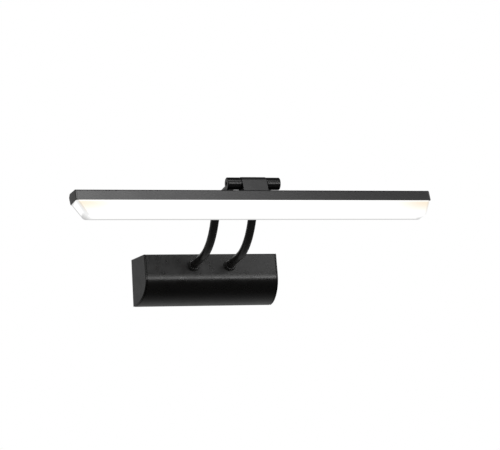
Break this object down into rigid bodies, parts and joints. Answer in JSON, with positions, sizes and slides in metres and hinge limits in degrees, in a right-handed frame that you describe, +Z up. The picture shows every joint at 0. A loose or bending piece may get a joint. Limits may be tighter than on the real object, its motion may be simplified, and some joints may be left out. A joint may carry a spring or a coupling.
{
  "type": "picture light",
  "caption": "Wall-mounted picture light: long LED head with opal diffuser, tilting on two curved tube arms above a black wall box.",
  "frame": {"origin": "on the wall plane, midway between the two fixing holes of the wall plate, which is the middle of the wall box's back", "axes": "+X to the right along the head as seen from the room, +Y into the wall, +Z up; the light stands out along -Y"},
  "size_m": [0.4, 0.2347, 0.1127],
  "materials": {
    "zinc_steel": "zinc-plated",
    "bare_steel": "turned",
    "brass": "turned",
    "grommet_rubber": "matt",
    "white_nylon": "moulded",
    "earth_insulation": "soft gloss",
    "live_insulation": "soft gloss",
    "neutral_insulation": "soft gloss",
    "green_board": "solder mask",
    "driver_parts": "taped and moulded",
    "black_coat": "satin powder coat",
    "arm_coat": "semi-gloss powder coat",
    "barrel_coat": "semi-gloss paint",
    "block_coat": "satin paint",
    "channel_coat": "satin powder coat",
    "cap_plastic": "fine texture",
    "black_screw": "blackened",
    "slip_washer": "smooth",
    "red_lead": "silicone",
    "black_lead": "silicone",
    "thermal_tape": "adhesive tape",
    "white_board": "white solder mask",
    "led_phosphor": "phosphor",
    "opal_acrylic": "opal, lit"
  },
  "bodies": {
    "base": {"wall_plate": "zinc_steel", "cable_grommet": "grommet_rubber", "earth_post": "brass", "earth_lug": "brass", "earth_screw": "zinc_steel", "earth_wire": "earth_insulation", "terminal_block": "white_nylon", "terminal_screws": "zinc_steel", "live_wire": "live_insulation", "neutral_wire": "neutral_insulation", "driver_case": "white_nylon", "driver_lid": "white_nylon", "driver_board": "green_board", "driver_parts": "driver_parts", "driver_screws": "zinc_steel", "box_cover": "black_coat", "box_cap_left": "black_coat", "box_cap_right": "black_coat", "cover_screws": "black_screw", "arm_bracket": "zinc_steel", "arm_left": "arm_coat", "arm_right": "arm_coat", "arm_collar_left": "arm_coat", "arm_collar_right": "arm_coat", "arm_washers": "zinc_steel", "arm_nuts": "brass", "led_lead_left": "red_lead", "led_lead_right": "black_lead", "barrel_left": "barrel_coat", "barrel_right": "barrel_coat", "barrel_screws": "black_screw", "friction_washers": "slip_washer"},
    "head": {"hinge_block": "block_coat", "hinge_pivots": "bare_steel", "block_screws": "zinc_steel", "head_lead_left": "red_lead", "head_lead_right": "black_lead", "light_channel": "channel_coat", "channel_cap_left": "cap_plastic", "channel_cap_right": "cap_plastic", "board_tape": "thermal_tape", "led_board": "white_board", "led_chips": "led_phosphor", "led_connector": "white_nylon", "diffuser": "opal_acrylic"}
  },
  "joints": [
    {"name": "head_tilt", "type": "hinge", "parent": "base", "child": "head", "pos_m": [0, -0.2095, 0.078], "axis": [1, 0, 0], "range_deg": [-90, 10]}
  ]
}
